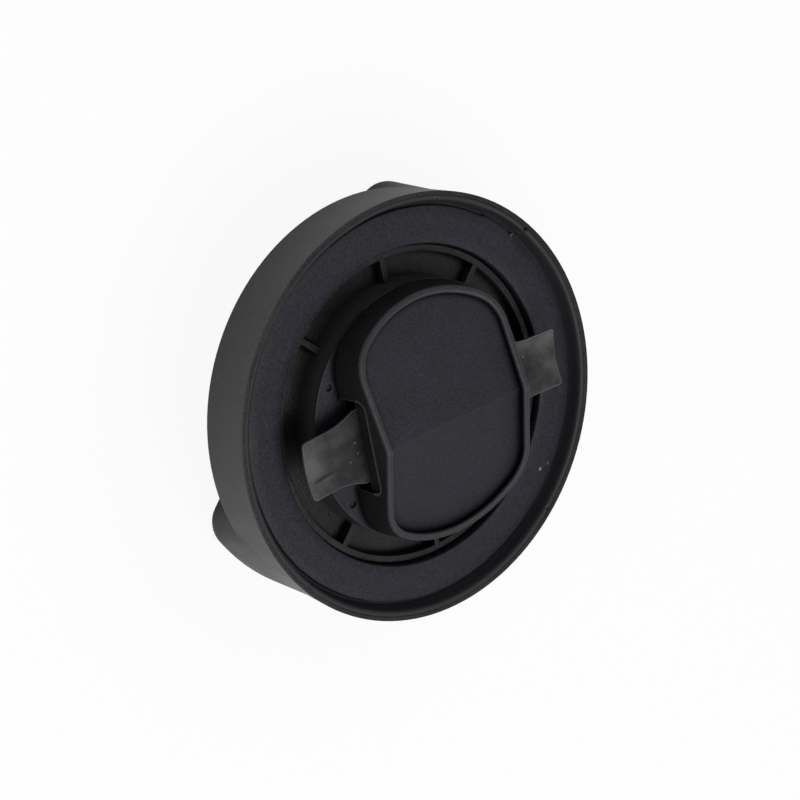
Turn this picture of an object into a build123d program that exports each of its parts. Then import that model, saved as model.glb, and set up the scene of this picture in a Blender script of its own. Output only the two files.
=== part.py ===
"""Bayonet oil filler cap, lying on its grip with the underside up.

Four pieces: the moulded cap body with its bar grip, the rubber gasket,
the spring steel strip whose two tongues lock under the filler neck, and
the moulded baffle that clamps the strip and keeps splashing oil off the cap.
All sizes are millimetres and degrees. Z = 0 is the flat of the grip, +Z
comes out of the underside and X runs along the two tongues.
"""
import math
import os

from build123d import *

# Skirt and plate of the cap body
rim_radius = 39.0
skirt_height = 11.8
skirt_taper = 0.8
skirt_back_fillet = 2.0
skirt_back_wall = 2.2
rim_wall = 0.75
rim_edge_fillet = 0.25
plate_thickness = 2.4
dish_fillet = 1.2

# Gasket seat, ring and ribs: depths below the plane of the rim. The tongues have no rib below them
seat_depth = 4.8
well_depth = 5.75
well_width = 4.35
ring_depth = 3.7
ring_width = 1.1
ring_fillet = 0.5
rib_first_angle = 45.0
rib_span = 90.0
ribs_a_side = 3
rib_width = 1.0

# Bar grip across the back
grip_height = 13.7
bar_angle = 45.0
bar_half_width = 14.8
bar_end_step = 0.25
bar_overlap = 4.3
bar_draft = 13.5
bar_corner = 5.5
bar_edge_fillet = 5.0

# Hollow inside the bar, with the column that carries the spring
bar_wall = 3.0
bar_core_clearance = 0.3
column_radius = 5.4
column_bore_radius = 3.2
column_web = 1.6
saddle_length = 12.0
saddle_height = 4.0
saddle_cheek = 1.5
saddle_cheek_rise = 1.0

# Spigot that the baffle snaps over
spigot_wall = 2.0
spigot_height = 3.0
snap_height = 1.8
snap_rise = 0.4
snap_half_width = 0.6

# Gasket
gasket_thickness = 2.6
gasket_face_width = 6.8
gasket_ring_gap = 0.35
lip_width = 2.0
lip_crest_width = 0.6
lip_depth = 0.6
lip_fillet = 0.25
groove_width = 0.5
groove_depth = 0.6
gasket_clearance = 0.15

# Spring strip
spring_thickness = 0.5
spring_rise = 3.3
spring_half_width = 6.9
spring_hole_radius = 3.4
root_inset = 0.1
tongue_reach = 0.6
tongue_half_width = 5.45
flare_inset = 0.5
tongue_corner = 0.4
tongue_sag = 0.8
root_sag = 0.04
middle_sag_share = 0.4
spring_clearance = 0.15

# Baffle
drum_wall = 2.0
drum_clearance = 0.2
flange_depth = 0.25
flange_thickness = 1.8
flange_edge_fillet = 0.2
shield_step = 0.15
shield_inset = 6.4
shield_corner = 9.0
shield_draft = 4.0
shield_wall = 1.5
roof_rise = 10.65
roof_angle = 14.5
roof_thickness = 1.6
bead_width = 1.4
bead_height = 1.2
bead_fillet = 0.5
window_half_width = 8.7
window_height = 6.75
window_corner = 1.5
clamp_recess = 0.9
clamp_rib_thickness = 1.6
clamp_clearance = 0.05
clamp_rib_half_width = 9.3
boss_radius = 4.6
pin_length = 6.0
pin_clearance = 0.2
dimple_radius = 0.75
dimple_depth = 0.6
dimple_offset = 1.35
dimple_y = 11.2

# Heights and radii that follow
rim_z = grip_height + skirt_height
seat_z = rim_z - seat_depth
well_z = rim_z - well_depth
ring_z = rim_z - ring_depth
dish_z = well_z - plate_thickness
flange_z = rim_z - flange_depth
gasket_z = seat_z + gasket_thickness
lip_z = rim_z - lip_depth
spring_top_z = rim_z + spring_rise
spring_bottom_z = spring_top_z - spring_thickness
clamp_z = spring_top_z + clamp_clearance
ridge_z = rim_z + roof_rise
roof_slope = math.tan(math.radians(roof_angle))
skirt_back_radius = rim_radius - skirt_taper
bar_end_radius = skirt_back_radius + bar_end_step
rim_inner_radius = rim_radius - rim_wall
gasket_outer_radius = rim_inner_radius - gasket_clearance
gasket_face_radius = gasket_outer_radius - lip_width
gasket_inner_radius = gasket_face_radius - gasket_face_width
ring_outer_radius = gasket_inner_radius - gasket_ring_gap
ring_inner_radius = ring_outer_radius - ring_width
drum_radius = ring_inner_radius - well_width
drum_inner_radius = drum_radius - drum_wall
spigot_radius = drum_inner_radius - drum_clearance
bar_core_radius = spigot_radius - spigot_wall - bar_core_clearance
shield_radius = drum_radius - shield_step
shield_flat = drum_radius - shield_inset
tongue_start = shield_flat - clamp_recess
spring_root = shield_flat - root_inset
tongue_flare_end = drum_radius - flare_inset
tongue_tip_radius = ring_inner_radius + ring_width / 2 + tongue_reach
dimple_x = shield_flat + dimple_offset
snap_z = well_z + snap_height
saddle_half_width = spring_half_width + spring_clearance
pin_radius = column_bore_radius - pin_clearance

# Margin of cutting shapes, tolerance for picking corners, and how steep an edge counts as upright
cut_margin = 1.0
pick_tolerance = 0.01
steep = 0.5

os.makedirs("parts", exist_ok=True)


def above_roof(drop):
    """Section of everything above the two roof planes, lowered by drop."""
    reach = 2 * rim_radius
    eave_z = ridge_z - drop - roof_slope * reach
    Polyline(
        (-reach, eave_z),
        (0, ridge_z - drop),
        (reach, eave_z),
        (reach, ridge_z + reach),
        (-reach, ridge_z + reach),
        close=True,
    )


def shield_plan(inset):
    """Plan of the baffle's raised box: a circle with two flats and large corners."""
    with BuildSketch(Plane.XY.offset(flange_z)) as plan:
        Circle(shield_radius - inset)
        Rectangle(2 * (shield_flat - inset), 4 * shield_radius, mode=Mode.INTERSECT)
        fillet(plan.vertices(), shield_corner - inset)
    return plan.sketch


def at(radius, height):
    """Picks the corner of a turned profile that lies at this radius and height."""
    return lambda v: abs(v.X - radius) < pick_tolerance and abs(v.Z - height) < pick_tolerance


def is_bead_edge(edge):
    """Edges along the top of the bead: they lie in the two roof planes."""
    middle = edge.position_at(0.5)
    in_roof = abs(middle.Z + roof_slope * abs(middle.Y) - ridge_z) < pick_tolerance
    return in_roof and edge.length > 2 * bead_width


# Grip: tapered bar whose ends run on into the side of the skirt
with BuildPart() as grip:
    with BuildSketch(Plane.XY):
        Rectangle(2 * rim_radius, 2 * bar_half_width, rotation=bar_angle)
    extrude(amount=grip_height + bar_overlap, taper=-bar_draft)
    with BuildSketch(Plane.XY):
        Circle(bar_end_radius)
    extrude(amount=grip_height + bar_overlap, mode=Mode.INTERSECT)
    upright_edges = grip.edges().filter_by(lambda e: abs(e.tangent_at(0.5).Z) > steep)
    fillet(upright_edges, bar_corner)
    fillet(grip.faces().sort_by(Axis.Z)[0].edges(), bar_edge_fillet)
    with BuildSketch(Plane.XY.offset(grip_height)):
        Rectangle(2 * bar_core_radius, 2 * bar_half_width, rotation=bar_angle)
    extrude(amount=dish_z + plate_thickness / 2 - grip_height)

# Hollow of the bar, as the mould core that leaves the column and its webs
with BuildPart() as bar_core:
    with BuildSketch(Plane.XY.offset(bar_wall)):
        Rectangle(2 * rim_radius, 2 * (bar_half_width - bar_wall), rotation=bar_angle)
    extrude(amount=well_z - bar_wall, taper=-bar_draft)
    with BuildSketch(Plane.XY):
        Circle(bar_core_radius)
    extrude(amount=well_z, mode=Mode.INTERSECT)
    with BuildSketch(Plane.XY):
        Circle(column_radius)
        Rectangle(2 * bar_core_radius, column_web, rotation=bar_angle)
        Rectangle(column_web, 2 * bar_core_radius, rotation=bar_angle)
    extrude(amount=well_z - plate_thickness, mode=Mode.SUBTRACT)

# Cap body
with BuildPart() as cap_body:
    with BuildSketch(Plane.XZ) as body_profile:
        with BuildLine():
            Polyline(
                (0, dish_z),
                (skirt_back_radius - skirt_back_wall, dish_z),
                (skirt_back_radius - skirt_back_wall, grip_height),
                (skirt_back_radius, grip_height),
                (rim_radius, rim_z),
                (rim_inner_radius, rim_z),
                (rim_inner_radius, seat_z),
                (ring_outer_radius, seat_z),
                (ring_outer_radius, ring_z),
                (ring_inner_radius, ring_z),
                (ring_inner_radius, well_z),
                (spigot_radius, well_z),
                (spigot_radius, snap_z - snap_half_width),
                (spigot_radius + snap_rise, snap_z),
                (spigot_radius, snap_z + snap_half_width),
                (spigot_radius, well_z + spigot_height),
                (spigot_radius - spigot_wall, well_z + spigot_height),
                (spigot_radius - spigot_wall, well_z),
                (0, well_z),
                close=True,
            )
        make_face()
        corners = body_profile.vertices()
        fillet(corners.filter_by(at(skirt_back_radius, grip_height)), skirt_back_fillet)
        fillet(corners.filter_by(at(skirt_back_radius - skirt_back_wall, dish_z)), dish_fillet)
        fillet(corners.filter_by(at(ring_outer_radius, ring_z)), ring_fillet)
        fillet(corners.filter_by(at(ring_inner_radius, ring_z)), ring_fillet)
        fillet(corners.filter_by(at(rim_radius, rim_z)), rim_edge_fillet)
    revolve(axis=Axis.Z)
    add(grip.part)
    add(bar_core.part, mode=Mode.SUBTRACT)
    with BuildSketch(Plane.XY.offset(bar_wall / 2)):
        Circle(column_radius)
    extrude(amount=spring_bottom_z - bar_wall / 2)
    with BuildSketch(Plane.XY.offset(spring_bottom_z - saddle_height)):
        Rectangle(saddle_length, 2 * (saddle_half_width + saddle_cheek))
    extrude(amount=saddle_height + saddle_cheek_rise)
    with BuildSketch(Plane.XY.offset(spring_bottom_z)):
        Rectangle(saddle_length, 2 * saddle_half_width)
    extrude(amount=saddle_cheek_rise, mode=Mode.SUBTRACT)
    with BuildSketch(Plane.XY.offset(spring_bottom_z)):
        Circle(column_bore_radius)
    extrude(amount=-2 * pin_length, mode=Mode.SUBTRACT)
    rib_length = well_width - drum_clearance + ring_width / 2
    rib_middle = ring_inner_radius + ring_width / 2 - rib_length / 2
    with BuildSketch(Plane.XY.offset(well_z - plate_thickness / 2)):
        for first in (rib_first_angle, rib_first_angle + 180):
            with PolarLocations(rib_middle, ribs_a_side, first, rib_span, endpoint=True):
                Rectangle(rib_length, rib_width)
    extrude(amount=ring_z - well_z + plate_thickness / 2)
cap_body.part.label = "cap_body"

# Gasket: flat sealing face, a groove, and a lip that rises to the skirt
with BuildPart() as gasket:
    with BuildSketch(Plane.XZ) as gasket_profile:
        with BuildLine():
            Polyline(
                (gasket_inner_radius, seat_z),
                (gasket_outer_radius, seat_z),
                (gasket_outer_radius, lip_z),
                (gasket_outer_radius - lip_crest_width, lip_z),
                (gasket_face_radius + groove_width, gasket_z),
                (gasket_face_radius + groove_width, gasket_z - groove_depth),
                (gasket_face_radius, gasket_z - groove_depth),
                (gasket_face_radius, gasket_z),
                (gasket_inner_radius, gasket_z),
                close=True,
            )
        make_face()
        corners = gasket_profile.vertices()
        fillet(corners.filter_by(at(gasket_outer_radius, lip_z)), lip_fillet)
        fillet(corners.filter_by(at(gasket_outer_radius - lip_crest_width, lip_z)), lip_fillet)
        fillet(corners.filter_by(at(gasket_inner_radius, gasket_z)), lip_fillet)
    revolve(axis=Axis.Z)
gasket.part.label = "gasket"


half_blank = spring_half_width + cut_margin
tip_sag = tongue_sag * (half_blank / tongue_half_width) ** 2


def spring_section(x, sag):
    """Section of the blank across its width, sagging towards the cap in the middle."""
    half = half_blank
    low = spring_bottom_z
    top = spring_top_z
    with BuildSketch(Plane.YZ.offset(x)) as section:
        with BuildLine():
            ThreePointArc((-half, top + sag), (0, top), (half, top + sag))
            Line((half, top + sag), (half, low + sag))
            ThreePointArc((half, low + sag), (0, low), (-half, low + sag))
            Line((-half, low + sag), (-half, top + sag))
        make_face()
    return section.sketch


# Spring strip: flat where it is clamped, cupped towards its two tongues
with BuildPart() as spring:
    middle = (tongue_start + tongue_tip_radius) / 2
    sections = [
        spring_section(tongue_start, root_sag),
        spring_section(middle, root_sag + (tip_sag - root_sag) * middle_sag_share),
        spring_section(tongue_tip_radius + cut_margin, tip_sag),
    ]
    loft(sections=sections)
    mirror(about=Plane.YZ)
    extrude(spring_section(-tongue_start, root_sag), amount=2 * tongue_start)
    tip_x = math.sqrt(tongue_tip_radius**2 - tongue_half_width**2)
    with BuildSketch(Plane.XY.offset(rim_z)) as strip_plan:
        with BuildLine() as edge:
            Line((0, spring_half_width), (spring_root, spring_half_width))
            TangentArc(
                (tongue_flare_end, tongue_half_width),
                (spring_root, spring_half_width),
                tangent=(-1, 0),
            )
            Line((tongue_flare_end, tongue_half_width), (tip_x, tongue_half_width))
            RadiusArc(
                (tip_x, tongue_half_width),
                (tip_x, -tongue_half_width),
                tongue_tip_radius,
            )
            mirror(about=Plane.XZ)
            mirror(about=Plane.YZ)
        make_face()
        tips = strip_plan.vertices().filter_by(lambda v: abs(v.X) > tongue_flare_end + cut_margin)
        fillet(tips, tongue_corner)
        Circle(spring_hole_radius, mode=Mode.SUBTRACT)
    extrude(amount=2 * spring_rise + tip_sag, mode=Mode.INTERSECT)
spring.part.label = "locking_spring"

# Hollow of the baffle, as the core that leaves the clamp ribs and the boss
with BuildPart() as baffle_core:
    extrude(shield_plan(shield_wall), amount=roof_rise + cut_margin, taper=shield_draft)
    extrude(shield_plan(shield_wall), amount=-drum_wall - flange_thickness)
    with BuildSketch(Plane.YZ):
        with BuildLine():
            above_roof(bead_height + roof_thickness)
        make_face()
    extrude(amount=rim_radius, both=True, mode=Mode.SUBTRACT)
    with BuildSketch(Plane.XY.offset(clamp_z)):
        with Locations((tongue_start - clamp_rib_thickness / 2, 0)):
            Rectangle(clamp_rib_thickness, 2 * clamp_rib_half_width)
        with Locations((clamp_rib_thickness / 2 - tongue_start, 0)):
            Rectangle(clamp_rib_thickness, 2 * clamp_rib_half_width)
        Circle(boss_radius)
    extrude(amount=roof_rise, mode=Mode.SUBTRACT)

# Recess in the roof of the baffle, inside its bead
with BuildPart() as recess:
    extrude(shield_plan(bead_width), amount=roof_rise + cut_margin, taper=shield_draft)
    with BuildSketch(Plane.YZ):
        with BuildLine():
            above_roof(bead_height)
        make_face()
    extrude(amount=rim_radius, both=True, mode=Mode.INTERSECT)

# Windows in the two flanks of the baffle, outside its clamp ribs and open below them
with BuildPart() as windows:
    with BuildSketch(Plane.YZ) as window_plan:
        with Locations((0, flange_z + window_height / 2)):
            Rectangle(2 * window_half_width, window_height)
        fillet(window_plan.vertices().group_by(Axis.Z)[-1], window_corner)
    extrude(amount=drum_radius, both=True)
    with BuildSketch(Plane.YZ.offset(-tongue_start)):
        with Locations((0, clamp_z + roof_rise / 2)):
            Rectangle(2 * drum_radius, roof_rise)
    extrude(amount=2 * tongue_start, mode=Mode.SUBTRACT)

# Baffle
with BuildPart() as baffle:
    with BuildSketch(Plane.XZ) as drum_profile:
        with BuildLine():
            Polyline(
                (0, flange_z),
                (drum_radius, flange_z),
                (drum_radius, well_z),
                (drum_inner_radius, well_z),
                (drum_inner_radius, snap_z - snap_half_width),
                (drum_inner_radius + snap_rise, snap_z),
                (drum_inner_radius, snap_z + snap_half_width),
                (drum_inner_radius, flange_z - flange_thickness),
                (0, flange_z - flange_thickness),
                close=True,
            )
        make_face()
        corners = drum_profile.vertices()
        fillet(corners.filter_by(at(drum_radius, flange_z)), flange_edge_fillet)
    revolve(axis=Axis.Z)
    extrude(shield_plan(0), amount=roof_rise + cut_margin, taper=shield_draft)
    with BuildSketch(Plane.YZ):
        with BuildLine():
            above_roof(0)
        make_face()
    extrude(amount=rim_radius, both=True, mode=Mode.SUBTRACT)
    add(recess.part, mode=Mode.SUBTRACT)
    fillet(baffle.edges().filter_by(is_bead_edge), bead_fillet)
    add(baffle_core.part, mode=Mode.SUBTRACT)
    add(windows.part, mode=Mode.SUBTRACT)
    with BuildSketch(Plane.XY.offset(clamp_z)):
        Circle(pin_radius)
    extrude(amount=-pin_length)
    with BuildSketch(Plane.XY.offset(flange_z)):
        with GridLocations(2 * dimple_x, 2 * dimple_y, 2, 2):
            Circle(dimple_radius)
    extrude(amount=-dimple_depth, mode=Mode.SUBTRACT)
baffle.part.label = "baffle"

export_step(cap_body.part, "parts/cap_body.step")
export_step(gasket.part, "parts/gasket.step")
export_step(spring.part, "parts/locking_spring.step")
export_step(baffle.part, "parts/baffle.step")
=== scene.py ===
"""Looks of the oil filler cap: its materials, worn gasket, formed spring, camera and lamps."""

import bpy
import math
from mathutils import Matrix, Vector, noise


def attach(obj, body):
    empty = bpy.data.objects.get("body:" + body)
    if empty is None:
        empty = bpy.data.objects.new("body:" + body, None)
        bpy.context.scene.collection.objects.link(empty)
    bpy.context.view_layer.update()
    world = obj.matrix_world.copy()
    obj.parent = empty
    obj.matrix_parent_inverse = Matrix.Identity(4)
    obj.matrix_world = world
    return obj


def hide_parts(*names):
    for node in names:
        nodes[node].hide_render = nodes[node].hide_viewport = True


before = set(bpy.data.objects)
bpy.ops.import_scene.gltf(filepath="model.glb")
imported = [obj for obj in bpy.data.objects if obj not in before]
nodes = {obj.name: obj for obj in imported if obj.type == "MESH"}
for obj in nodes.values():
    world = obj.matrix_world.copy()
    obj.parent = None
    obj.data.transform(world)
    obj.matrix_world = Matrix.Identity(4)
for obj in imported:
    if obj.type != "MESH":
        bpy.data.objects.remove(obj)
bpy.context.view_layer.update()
scene = bpy.context.scene
MM = 0.001


def grey(level):
    """Colour with one level in all its channels."""
    return (level, level, level)


class Look:
    """A material whose base colour and specular tint are built up layer by layer."""

    def __init__(self, name):
        self.material = bpy.data.materials.new(name)
        self.material.use_nodes = True
        self.tree = self.material.node_tree
        self.shader = self.tree.nodes["Principled BSDF"]
        coords = self.add("ShaderNodeTexCoord")
        self.position = coords.outputs["Object"]
        self.normal = coords.outputs["Normal"]
        self.base = None
        self.tint = None

    def add(self, kind):
        """New node of this kind."""
        return self.tree.nodes.new(kind)

    def feed(self, socket, value):
        """Links an output to a socket, or sets the socket to a number or a colour."""
        if isinstance(value, bpy.types.NodeSocket):
            self.tree.links.new(value, socket)
        elif socket.type == "RGBA":
            socket.default_value = (*value, 1.0)
        else:
            socket.default_value = value

    def number(self, operation, first, second=0.0):
        """Two numbers put together by this operation."""
        node = self.add("ShaderNodeMath")
        node.operation = operation
        self.feed(node.inputs[0], first)
        self.feed(node.inputs[1], second)
        return node.outputs["Value"]

    def step(self, source, from_low, from_high, to_low=0.0, to_high=1.0):
        """Clamped linear step from one range of values to another."""
        node = self.add("ShaderNodeMapRange")
        self.feed(node.inputs["Value"], source)
        self.feed(node.inputs["From Min"], from_low)
        self.feed(node.inputs["From Max"], from_high)
        self.feed(node.inputs["To Min"], to_low)
        self.feed(node.inputs["To Max"], to_high)
        return node.outputs["Result"]

    def axis(self, vector, letter):
        """One of the three coordinates of a vector."""
        node = self.add("ShaderNodeSeparateXYZ")
        self.feed(node.inputs["Vector"], vector)
        return node.outputs[letter]

    def length(self, vector):
        """Length of a vector."""
        node = self.add("ShaderNodeVectorMath")
        node.operation = "LENGTH"
        self.feed(node.inputs[0], vector)
        return node.outputs["Value"]

    def along(self, direction):
        """How far the shaded point lies along a direction."""
        node = self.add("ShaderNodeVectorMath")
        node.operation = "DOT_PRODUCT"
        self.feed(node.inputs[0], self.position)
        self.feed(node.inputs[1], direction)
        return node.outputs["Value"]

    def radius(self):
        """Distance of the shaded point from the Z axis."""
        node = self.add("ShaderNodeVectorMath")
        node.operation = "MULTIPLY"
        self.feed(node.inputs[0], self.position)
        self.feed(node.inputs[1], (1, 1, 0))
        return self.length(node.outputs["Vector"])

    def noise(self, scale, detail, roughness=0.55, stretch=(1, 1, 1)):
        """Noise in object space, with its scale in features per metre."""
        place = self.add("ShaderNodeMapping")
        self.feed(place.inputs["Vector"], self.position)
        self.feed(place.inputs["Scale"], stretch)
        node = self.add("ShaderNodeTexNoise")
        self.feed(node.inputs["Vector"], place.outputs["Vector"])
        self.feed(node.inputs["Scale"], scale)
        self.feed(node.inputs["Detail"], detail)
        self.feed(node.inputs["Roughness"], roughness)
        return node.outputs["Fac"]

    def ramp(self, source, stops):
        """Colour ramp over a value: stops are (position, colour)."""
        node = self.add("ShaderNodeValToRGB")
        self.feed(node.inputs["Fac"], source)
        elements = node.color_ramp.elements
        while len(elements) < len(stops):
            elements.new(0.5)
        for element, (place, colour) in zip(elements, stops):
            element.position = place
            element.color = (*colour, 1.0)
        return node.outputs["Color"]

    def mix(self, blend, factor, first, second):
        """Two colours blended."""
        node = self.add("ShaderNodeMix")
        node.data_type = "RGBA"
        node.blend_type = blend
        self.feed(node.inputs["Factor"], factor)
        self.feed(node.inputs[6], first)
        self.feed(node.inputs[7], second)
        return node.outputs[2]

    def paint(self, mask, colour):
        """Covers the base colour where the mask is 1."""
        self.base = self.mix("MIX", mask, self.base, colour)

    def scale_base(self, colour, mask=1.0):
        """Multiplies the base colour where the mask is 1."""
        self.base = self.mix("MULTIPLY", mask, self.base, colour)

    def set_tint(self, mask, level):
        """Sets the specular tint to a grey level where the mask is 1."""
        self.tint = self.mix("MIX", mask, self.tint, grey(level))

    def scale_tint(self, colour, mask=1.0):
        """Multiplies the specular tint where the mask is 1."""
        self.tint = self.mix("MULTIPLY", mask, self.tint, colour)

    def spots(self, marks):
        """Soft oval marks: each is (centre mm, half sizes mm, turn in degrees, colour)."""
        for centre, half_sizes, turn, colour in marks:
            oval = self.add("ShaderNodeMapping")
            oval.vector_type = "TEXTURE"
            self.feed(oval.inputs["Vector"], self.position)
            self.feed(oval.inputs["Location"], [MM * c for c in centre])
            self.feed(oval.inputs["Rotation"], (0, 0, math.radians(turn)))
            self.feed(oval.inputs["Scale"], [MM * h for h in half_sizes])
            self.paint(self.step(self.length(oval.outputs["Vector"]), 1.0, 0.5), colour)

    def closeness(self, distance, inside):
        """Ambient occlusion within this distance: below 1 near convex edges or in corners."""
        node = self.add("ShaderNodeAmbientOcclusion")
        node.inside = inside
        node.only_local = True
        node.samples = 8
        self.feed(node.inputs["Distance"], distance)
        return node.outputs["AO"]

    def edges(self, distance, start=0.92, full=0.5):
        """1 along convex edges, falling to 0 at this distance from them."""
        return self.step(self.closeness(distance, True), start, full)

    def corners(self, distance, start=0.9, full=0.6):
        """1 deep in corners and slots and 0 on open faces: the mask of painted shade."""
        return self.step(self.closeness(distance, False), start, full)

    def bumps(self, edge_radius, layers):
        """Rounded edges, then bumps one on another: layers are (height, strength, distance)."""
        previous = self.add("ShaderNodeBevel")
        previous.samples = 4
        self.feed(previous.inputs["Radius"], edge_radius)
        for height, strength, distance in layers:
            bump = self.add("ShaderNodeBump")
            self.feed(bump.inputs["Height"], height)
            self.feed(bump.inputs["Strength"], strength)
            self.feed(bump.inputs["Distance"], distance)
            self.feed(bump.inputs["Normal"], previous.outputs["Normal"])
            previous = bump
        self.feed(self.shader.inputs["Normal"], previous.outputs["Normal"])

    def finish(self, roughness):
        """Feeds the shader and returns the material."""
        self.feed(self.shader.inputs["Base Color"], self.base)
        self.feed(self.shader.inputs["Roughness"], roughness)
        if self.tint is not None:
            self.feed(self.shader.inputs["Specular Tint"], self.tint)
        return self.material


class Plastic(Look):
    """Black moulded plastic: cloudy patches, fine pits, dust, painted shade in its corners, and
    walls painted darker than tops as painted shade.
    """

    def __init__(self, name, shaded_side_colour, top_colour, shaded_side_tint):
        super().__init__(name)
        self.fine = self.noise(2500.0, 3.0)
        self.cloud = self.noise(130.0, 4.0, 0.6)
        specks = self.noise(5200.0, 1.0)
        # painted shade: walls facing sideways take the darker side colour, tops the top colour
        upward = self.step(self.axis(self.normal, "Z"), 0.6, 0.8)
        self.base = self.mix("MIX", upward, shaded_side_colour, top_colour)
        self.scale_base(self.ramp(self.cloud, [(0.3, grey(0.8)), (0.7, grey(1.2))]))
        self.scale_base(self.ramp(self.fine, [(0.35, grey(0.7)), (0.65, grey(1.3))]))
        dust = self.ramp(specks, [(0.72, grey(0.0)), (0.8, grey(0.05))])
        self.base = self.mix("ADD", 1.0, self.base, dust)
        # painted shade: weaker specular tint on the walls than on the tops
        self.tint = self.mix("MIX", upward, grey(shaded_side_tint), grey(1.0))
        self.scale_tint(self.ramp(self.fine, [(0.35, grey(0.8)), (0.6, grey(1.0))]))
        # painted shade: near-black colour and weak specular tint deep in corners
        corner_shade = self.corners(1.6 * MM)
        self.paint(corner_shade, grey(0.0015))
        self.set_tint(corner_shade, 0.2)

    def paint_edge_highlights(self, colour):
        """Edges painted lighter in patches: a painted highlight along convex edges."""
        highlight_patches = self.ramp(self.cloud, [(0.42, grey(0.15)), (0.58, grey(1.0))])
        self.paint(self.number("MULTIPLY", self.edges(0.3 * MM), highlight_patches), colour)

    def mould_surface(self, rough, grain):
        """Moulded grain and a patchy gloss; returns the finished material."""
        self.bumps(0.22 * MM, [(self.cloud, 0.25, 0.2 * MM), (self.fine, grain, 0.08 * MM)])
        return self.finish(
            self.ramp(self.cloud, [(0.3, grey(rough - 0.05)), (0.7, grey(rough + 0.06))])
        )


# Plastic of the cap body: painted shade inside the ring, where colour and specular tint are darker
ring_inner_radius = 28.1
cap_look = Plastic("cap_plastic", grey(0.0105), grey(0.0105), 1.0)
well_shade = cap_look.step(
    cap_look.radius(), (ring_inner_radius + 0.3) * MM, ring_inner_radius * MM
)
# painted shade: darker colour and weaker specular tint inside the ring
cap_look.scale_tint(grey(0.85), well_shade)
cap_look.scale_base(grey(0.85), well_shade)
# painted highlight along the cap's convex edges
cap_look.paint_edge_highlights(grey(0.03))
cap_look.spots(
    [
        ((-30.0, 23.0, 18.0), (0.5, 0.5, 0.8), 0, grey(0.03)),
        ((-18.6, 18.6, 19.8), (0.3, 0.25, 0.6), 0, grey(0.06)),
    ]
)
cap_plastic = cap_look.mould_surface(0.34, 0.7)

# Plastic of the baffle: purplish roof with painted shade in corners along its low side, a painted
# highlight on the bead crest, greyer drum
low_side = (0.6, -0.8, 0)
bead_foot_z = 29.7
drum_top_z = 25.0
olive = (0.008, 0.0078, 0.005)
# painted shade: the baffle's walls darker in colour and specular tint than its roof
baffle_look = Plastic("baffle_plastic", grey(0.006), (0.0108, 0.01, 0.0185), 0.65)
height = baffle_look.axis(baffle_look.position, "Z")
low = baffle_look.step(baffle_look.along(low_side), 0.0, 10 * MM)
# painted shade: near-black colour and weak specular tint in corners and the recess on the low side
recess_shade = baffle_look.number("MULTIPLY", baffle_look.corners(5 * MM, 0.95, 0.83), low)
baffle_look.paint(recess_shade, grey(0.001))
baffle_look.set_tint(recess_shade, 0.1)
# painted highlight along the baffle's convex edges
baffle_look.paint_edge_highlights((0.065, 0.065, 0.067))
# painted highlight along the crest of the raised bead
raised = baffle_look.step(height, bead_foot_z * MM, (bead_foot_z + 0.5) * MM)
crest = baffle_look.number("MULTIPLY", raised, baffle_look.edges(0.9 * MM, 0.86, 0.62))
baffle_look.paint(crest, (0.1, 0.1, 0.106))
drum = baffle_look.step(height, drum_top_z * MM, (drum_top_z - 0.2) * MM)
baffle_look.paint(drum, (0.03, 0.03, 0.029))
baffle_look.spots(
    [
        ((-16.2, 0.0, 30.2), (0.4, 14.0, 1.9), 0, olive),
        ((16.2, 0.0, 30.2), (0.4, 14.0, 1.9), 0, olive),
        ((-4.0, 9.5, 33.4), (0.28, 0.2, 1.5), 0, grey(0.09)),
        ((6.0, -12.0, 32.8), (0.2, 0.2, 1.5), 0, grey(0.05)),
        ((-9.0, -18.6, 25.2), (0.3, 0.2, 0.6), 0, grey(0.06)),
    ]
)
baffle_plastic = baffle_look.mould_surface(0.55, 1.0)


# Rubbers: matte, with a faint purple cast on the sealing face and a greyer lip
class Rubber(Look):
    """Matte black rubber with fine pits and a cloudy finish."""

    def __init__(self, name):
        super().__init__(name)
        self.shader.inputs["Specular IOR Level"].default_value = 0.47
        self.fine = self.noise(2600.0, 3.0)
        self.cloud = self.noise(90.0, 5.0, 0.62)
        self.tint = self.ramp(self.fine, [(0.35, grey(0.78)), (0.6, grey(1.0))])

    def rubber_surface(self):
        """Fine bumps and a patchy gloss; returns the finished material."""
        self.bumps(0.15 * MM, [(self.cloud, 0.3, 0.2 * MM), (self.fine, 0.8, 0.08 * MM)])
        return self.finish(self.ramp(self.cloud, [(0.3, grey(0.54)), (0.7, grey(0.66))]))


lip_foot_radius = 36.15
lip_crest_radius = 37.0
gasket_look = Rubber("gasket_rubber")
gasket_look.base = gasket_look.ramp(
    gasket_look.cloud, [(0.3, (0.0083, 0.0074, 0.015)), (0.7, (0.0112, 0.0102, 0.0195))]
)
gasket_look.scale_base(gasket_look.ramp(gasket_look.fine, [(0.35, grey(0.6)), (0.65, grey(1.4))]))
gasket_radius = gasket_look.radius()
on_lip = gasket_look.step(gasket_radius, lip_foot_radius * MM, (lip_foot_radius + 0.2) * MM)
gasket_look.paint(on_lip, (0.019, 0.0183, 0.0222))
on_crest = gasket_look.step(gasket_radius, lip_crest_radius * MM, (lip_crest_radius + 0.4) * MM)
gasket_look.paint(on_crest, (0.021, 0.0205, 0.023))
gasket_look.spots(
    [
        ((25.0, -22.7, 23.3), (0.42, 0.34, 0.6), 30, grey(0.25)),
        ((27.0, -22.3, 23.3), (0.3, 0.3, 0.6), 0, grey(0.09)),
        ((-31.2, 8.5, 23.3), (0.25, 0.2, 0.6), 20, grey(0.05)),
        ((11.1, 36.2, 25.4), (0.3, 0.25, 0.6), 0, grey(0.08)),
        ((-6.8, -33.1, 23.3), (0.5, 0.14, 0.6), -35, grey(0.05)),
    ]
)
gasket_rubber = gasket_look.rubber_surface()
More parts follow.
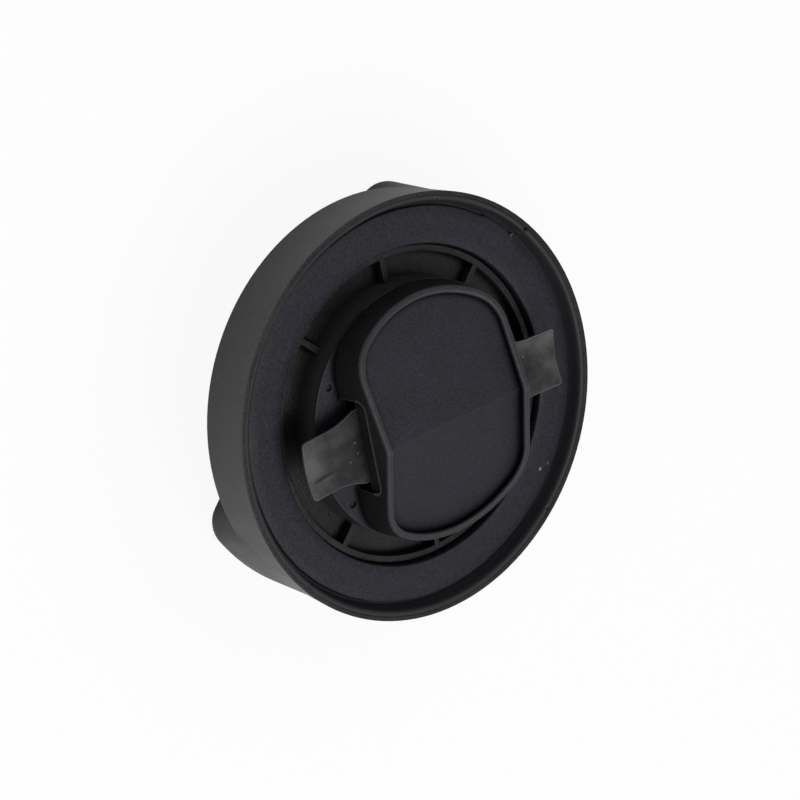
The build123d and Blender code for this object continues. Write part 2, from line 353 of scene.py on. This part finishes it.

# Blackened spring steel: rolled lines along the strip, cloudy oil film, darker at the middle and
# lighter towards the tips, painted highlight along its edges
strip_tip = 28.75
steel_look = Look("spring_steel")
steel_look.shader.inputs["Metallic"].default_value = 0.4
steel_look.shader.inputs["Anisotropic"].default_value = 0.3
rolled = steel_look.noise(900.0, 3.0, 0.6, (0.12, 1.0, 1.0))
film = steel_look.noise(160.0, 4.0, 0.6)
steel_look.base = steel_look.ramp(
    film, [(0.35, grey(0.022)), (0.5, (0.045, 0.045, 0.0445)), (0.65, (0.08, 0.08, 0.079))]
)
from_middle = steel_look.number("ABSOLUTE", steel_look.axis(steel_look.position, "X"))
steel_look.scale_base(steel_look.step(from_middle, 16.5 * MM, 28.8 * MM, 0.45, 1.65))
# painted highlight along the strip's edges
steel_look.paint(steel_look.edges(0.2 * MM), (0.17, 0.17, 0.168))
steel_look.spots(
    [
        ((-25.2, -2.2, 28.6), (3.4, 0.35, 1.5), 5.4, (0.02, 0.02, 0.023)),
        ((-25.4, -2.9, 28.6), (2.6, 0.2, 1.5), 5.4, grey(0.095)),
        ((-17.8, 1.2, 28.8), (0.22, 0.22, 0.8), 0, (0.2, 0.2, 0.19)),
        ((-17.6, -0.9, 28.8), (0.2, 0.25, 0.8), 0, (0.16, 0.16, 0.15)),
        ((-19.4, -1.9, 28.8), (0.25, 0.18, 0.8), 0, (0.16, 0.16, 0.15)),
        ((21.4, 2.5, 28.8), (0.25, 0.2, 0.8), 0, (0.2, 0.2, 0.19)),
    ]
)
steel_look.bumps(0.15 * MM, [(film, 0.15, 0.3 * MM), (rolled, 0.3, 0.04 * MM)])
steel = steel_look.finish(steel_look.ramp(rolled, [(0.3, grey(0.36)), (0.7, grey(0.5))]))


def dress(node, mat):
    """Gives a CAD node its material."""
    materials = nodes[node].data.materials
    materials.clear()
    materials.append(mat)


dress("cap_body", cap_plastic)
dress("baffle", baffle_plastic)


def mesh_object(name, verts, faces, mat):
    """Object with a mesh of its own and one material."""
    mesh = bpy.data.meshes.new(name)
    mesh.from_pydata(verts, [], faces)
    mesh.materials.append(mat)
    obj = bpy.data.objects.new(name, mesh)
    scene.collection.objects.link(obj)
    return obj


# Spring strip as formed: straight-cut tips with rounded corners, cupped across
strip_top = 28.8
strip_thickness = 0.5
strip_half_width = 6.9
tongue_half_width = 5.45
strip_root = 17.0
flare_end = 23.0
tip_corner = 0.7
tip_sag = 0.85
root_sag = 0.03
sag_power = 1.6
hole_radius = 3.4
hole_sides = 64
wide_step = 2.0
fine_start = 14.0
fine_step = 0.5
corner_cells = 8
cells_across = 24


def strip_half(x):
    """Half width of the strip at a distance from its middle."""
    if x < strip_root:
        return strip_half_width
    ease = min(1.0, (x - strip_root) / (flare_end - strip_root))
    half = strip_half_width - (strip_half_width - tongue_half_width) * math.sin(ease * math.pi / 2)
    past = x - (strip_tip - tip_corner)
    if past > 0:
        half -= tip_corner - math.sqrt(max(0.0, tip_corner**2 - past**2))
    return half


def strip_lift(x, y):
    """Rise of the strip's two long edges above its middle line."""
    share = max(0.0, (x - strip_root) / (strip_tip - strip_root))
    return (root_sag + tip_sag * share**sag_power) * (y / tongue_half_width) ** 2


def strip_stations():
    """Places along the strip: wide steps in the middle, finer ones, then the rounded corners."""
    wide_cells = int(fine_start / wide_step)
    fine_cells = int((strip_tip - tip_corner - fine_start) / fine_step)
    half = [wide_step * k for k in range(wide_cells + 1)]
    half += [fine_start + fine_step * k for k in range(1, fine_cells + 1)]
    for k in range(1, corner_cells + 1):
        turn = k * math.pi / 2 / corner_cells
        half.append(strip_tip - tip_corner * (1 - math.sin(turn)))
    return [-x for x in reversed(half[1:])] + half


def formed_strip(name, mat):
    """Closed strip of spring steel, with its hole cut through the middle."""
    stations = strip_stations()
    verts = []
    faces = []
    for x in stations:
        half = strip_half(abs(x))
        for drop in (0.0, strip_thickness):
            for k in range(cells_across + 1):
                y = half * (2 * k / cells_across - 1)
                z = strip_top - drop + strip_lift(abs(x), y)
                verts.append((x * MM, y * MM, z * MM))
    under = cells_across + 1
    row = 2 * under
    last = (len(stations) - 1) * row
    for a in range(0, last, row):
        for k in range(cells_across):
            faces.append((a + k, a + row + k, a + row + k + 1, a + k + 1))
            b = a + under
            faces.append((b + k, b + k + 1, b + row + k + 1, b + row + k))
        faces.append((a, a + under, a + under + row, a + row))
        b = a + cells_across
        faces.append((b + row, b + under + row, b + under, b))
    for k in range(cells_across):
        b = under + k
        faces.append((k, k + 1, b + 1, b))
        faces.append((last + k, last + b, last + b + 1, last + k + 1))
    obj = mesh_object(name, verts, faces, mat)
    bpy.ops.mesh.primitive_cylinder_add(
        vertices=hole_sides,
        radius=hole_radius * MM,
        depth=4 * MM,
        location=(0, 0, strip_top * MM),
    )
    cutter = bpy.context.object
    hole = obj.modifiers.new("hole", "BOOLEAN")
    hole.object = cutter
    depsgraph = bpy.context.evaluated_depsgraph_get()
    cut = bpy.data.meshes.new_from_object(obj.evaluated_get(depsgraph))
    obj.modifiers.clear()
    obj.data = cut
    bpy.data.objects.remove(cutter)
    return obj


spring = formed_strip("spring_formed", steel)
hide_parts("locking_spring")
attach(spring, "root")

# Gasket as moulded: profile as (radius, height), from its inner foot outwards and back
gasket_profile = [
    (29.3, 20.7),
    (38.2, 20.7),
    (38.23, 23.6),
    (38.24, 25.3),
    (38.21, 25.44),
    (37.85, 25.46),
    (37.5, 25.4),
    (37.28, 25.2),
    (37.1, 24.45),
    (36.95, 23.75),
    (36.78, 23.2),
    (36.6, 22.6),
    (36.35, 22.45),
    (36.2, 22.75),
    (36.15, 23.1),
    (36.08, 23.25),
    (35.92, 23.3),
    (34.0, 23.3),
    (31.5, 23.3),
    (29.6, 23.3),
    (29.4, 23.23),
    (29.32, 23.05),
]
lip_points = range(3, 9)
foot_points = range(8, 16)
groove_outer_points = range(9, 12)
groove_floor_point = 12
groove_inner_points = range(13, 17)
steps_round = 1080

# Its damage, by angle: a tear, a slit, nicks as (angle, half width), and where the groove gapes
tear_angle = 38.6
tear_half_width = 0.55
tear_depth = 1.1
slit_angle = 52.0
slit_half_width = 0.3
slit_depth = 0.6
nicks = [(72.0, 0.35), (216.0, 0.7), (308.3, 0.45)]
nick_depth = 0.35
loose_shift = 0.35
gapes = [(262, 52, 1.0), (345, 30, 0.5)]
gape_steepness = 3
gape_width = 0.1
gape_depth = 0.5

# Its unevenness: waves round the ring, their heights on the lip and shifts at its foot
wave_count = 3
ripple_count = 14
lip_wave = 0.04
lip_ripple = 0.03
foot_wave = 0.08
foot_ripple = 0.05


def notch(angle, centre, half_width, steepness=1.0):
    """1 at the centre angle, falling to 0 at half_width on both sides, in degrees."""
    away = abs((angle - centre + 180) % 360 - 180)
    return min(1.0, steepness * max(0.0, 1 - away / half_width))


def ring_noise(angle, count, seed):
    """Noise that runs round the ring and meets itself, with about count waves."""
    turn = math.radians(angle)
    return noise.noise(Vector((math.cos(turn) * count, math.sin(turn) * count, seed)))


def gasket_shape(j, angle, r, z):
    """Moves a point of the profile: waves, tear, slit, nicks and the gaping groove."""
    wave = ring_noise(angle, wave_count, 1.7)
    ripple = ring_noise(angle, ripple_count, 5.1)
    gape = sum(share * notch(angle, centre, half, gape_steepness) for centre, half, share in gapes)
    if j in lip_points:
        z += lip_wave * wave + lip_ripple * ripple
        z -= tear_depth * notch(angle, tear_angle, tear_half_width, 2.0)
        z -= slit_depth * notch(angle, slit_angle, slit_half_width, 2.0)
        for centre, half_width in nicks:
            z -= nick_depth * notch(angle, centre, half_width)
    if j in foot_points:
        r += foot_wave * wave + foot_ripple * ripple
        if slit_angle > angle > tear_angle:
            r += loose_shift
    if j in groove_outer_points:
        r += gape_width * gape
    if j == groove_floor_point:
        z -= gape_depth * gape
    if j in groove_inner_points:
        r -= gape_width * gape
    return r, z


def turned(name, profile, steps, mat, shape):
    """Closed ring turned round the axis, with each point of its profile moved by shape."""
    verts = []
    faces = []
    count = len(profile)
    for i in range(steps):
        angle = 360 * i / steps
        c = math.cos(math.radians(angle))
        s = math.sin(math.radians(angle))
        for j, (profile_r, profile_z) in enumerate(profile):
            r, z = shape(j, angle, profile_r, profile_z)
            verts.append((r * c * MM, r * s * MM, z * MM))
    for i in range(steps):
        k = (i + 1) % steps
        for j in range(count):
            m = (j + 1) % count
            faces.append((i * count + j, k * count + j, k * count + m, i * count + m))
    obj = mesh_object(name, verts, faces, mat)
    for poly in obj.data.polygons:
        poly.use_smooth = True
    return obj


gasket = turned("gasket_moulded", gasket_profile, steps_round, gasket_rubber, gasket_shape)
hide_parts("gasket")
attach(gasket, "root")

# Curled shred of rubber beside the tear
shred_foot = (27.9, 22.8, 23.2)
shred_turn = 122
shred_length = 1.5
shred_width = 0.9
shred_thickness = 0.16
shred_curl = 110
shred_reach = 0.6
shred_rise = 0.45
shred_taper = 0.6
shred_thinning = 0.5
shred_steps = 8


def torn_shred(name, mat):
    """Thin strip that leaves its foot along the ring and curls up towards its end."""
    verts = []
    faces = []
    turn = math.radians(shred_turn)
    along = Vector((math.cos(turn), math.sin(turn), 0))
    across = Vector((-along.y, along.x, 0))
    for i in range(shred_steps + 1):
        share = i / shred_steps
        curl = share * math.radians(shred_curl)
        middle = Vector(shred_foot) + along * shred_length * math.sin(curl) * shred_reach
        middle.z += shred_length * shred_rise * (1 - math.cos(curl))
        half = shred_width / 2 * (1 - shred_taper * share)
        thick = shred_thickness * (1 - shred_thinning * share)
        for side, rise in ((-1, 0), (1, 0), (1, 1), (-1, 1)):
            point = middle + across * half * side
            point.z += thick * rise
            verts.append([c * MM for c in point])
    for i in range(shred_steps):
        for j in range(4):
            k = (j + 1) % 4
            faces.append((4 * i + j, 4 * i + k, 4 * i + 4 + k, 4 * i + 4 + j))
    last = 4 * shred_steps
    faces.append((3, 2, 1, 0))
    faces.append((last, last + 1, last + 2, last + 3))
    obj = mesh_object(name, verts, faces, mat)
    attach(obj, "root")


torn_look = Rubber("torn_rubber")
torn_look.base = torn_look.ramp(
    torn_look.noise(1500.0, 3.0), [(0.3, grey(0.03)), (0.7, grey(0.09))]
)
torn_shred("torn_shred", torn_look.rubber_surface())

# Camera at the photograph's viewing angle
camera_data = bpy.data.cameras.new("camera")
camera_data.sensor_width = 36.0
camera_data.lens = 118.31
camera_data.clip_start = 0.01
camera_data.clip_end = 20.0
camera = bpy.data.objects.new("camera", camera_data)
scene.collection.objects.link(camera)
camera_right = (0.77263, -0.17950, 0.60895)
camera_up = (0.35943, 0.91434, -0.18653)
camera_back = (-0.52331, 0.36299, 0.77097)
camera_place = (-0.24755, 0.17200, 0.38352)
camera_turn = Matrix((camera_right, camera_up, camera_back)).transposed()
camera.matrix_world = Matrix.Translation(camera_place) @ camera_turn.to_4x4()
scene.camera = camera

# Floor: white to the camera; painted shadow darkens its colour beneath the cap, and painted shade
# dims its reflections there
floor_size = 6.0
floor_drop = 0.05
seen_share = 0.93
bpy.ops.mesh.primitive_plane_add(size=floor_size, location=(0, 0, -floor_drop * MM))
floor = bpy.context.object
floor.name = "floor"
floor_look = Look("floor_white")
floor_look.shader.inputs["Specular IOR Level"].default_value = 0.0
from_cap = floor_look.radius()
# painted shadow: floor colour darker within 70 mm of the cap
floor_look.base = floor_look.step(from_cap, 45 * MM, 70 * MM, 0.68, 0.95)
floor.data.materials.append(floor_look.finish(0.9))
ray = floor_look.add("ShaderNodeLightPath").outputs
# painted shade: reflections of the floor near the cap are less white
mirrored_share = floor_look.step(from_cap, 42 * MM, 70 * MM, 0.05, 1.0)
white_share = floor_look.number(
    "MAXIMUM",
    floor_look.number("MULTIPLY", ray["Is Camera Ray"], seen_share),
    floor_look.number("MULTIPLY", ray["Is Glossy Ray"], mirrored_share),
)
white_share = floor_look.number(
    "MAXIMUM",
    white_share,
    floor_look.number("MULTIPLY", ray["Is Transmission Ray"], seen_share),
)
white = floor_look.add("ShaderNodeEmission")
surface = floor_look.add("ShaderNodeMixShader")
floor_look.feed(surface.inputs[0], white_share)
floor_look.feed(surface.inputs[1], floor_look.shader.outputs[0])
floor_look.feed(surface.inputs[2], white.outputs[0])
floor_output = floor_look.tree.nodes["Material Output"]
floor_look.feed(floor_output.inputs["Surface"], surface.outputs[0])

# World and lamps: the camera stands at (-0.25, 0.17, 0.38), with the low edge lamp beside it
world = bpy.data.worlds.new("studio")
scene.world = world
world.use_nodes = True
background = world.node_tree.nodes["Background"]
background.inputs["Color"].default_value = (1, 1, 1, 1)
background.inputs["Strength"].default_value = 0.3
lamp_aim = Vector((0, 0, 0.015))


def lamp(name, place, size, power):
    """Soft rectangular lamp that looks at the object."""
    data = bpy.data.lights.new(name, "AREA")
    data.shape = "RECTANGLE"
    data.size = size[0]
    data.size_y = size[1]
    data.energy = power
    obj = bpy.data.objects.new(name, data)
    scene.collection.objects.link(obj)
    obj.location = place
    aim = lamp_aim - Vector(place)
    obj.rotation_euler = aim.to_track_quat("-Z", "Y").to_euler()


lamp("key", (-0.15, -0.35, 1.0), (0.8, 0.8), 7.0)
lamp("top", (0.25, 0.8, 0.55), (0.7, 0.4), 0.5)
lamp("edge", (-0.85, 0.49, 0.21), (0.5, 0.12), 0.8)

scene.view_settings.view_transform = "Standard"
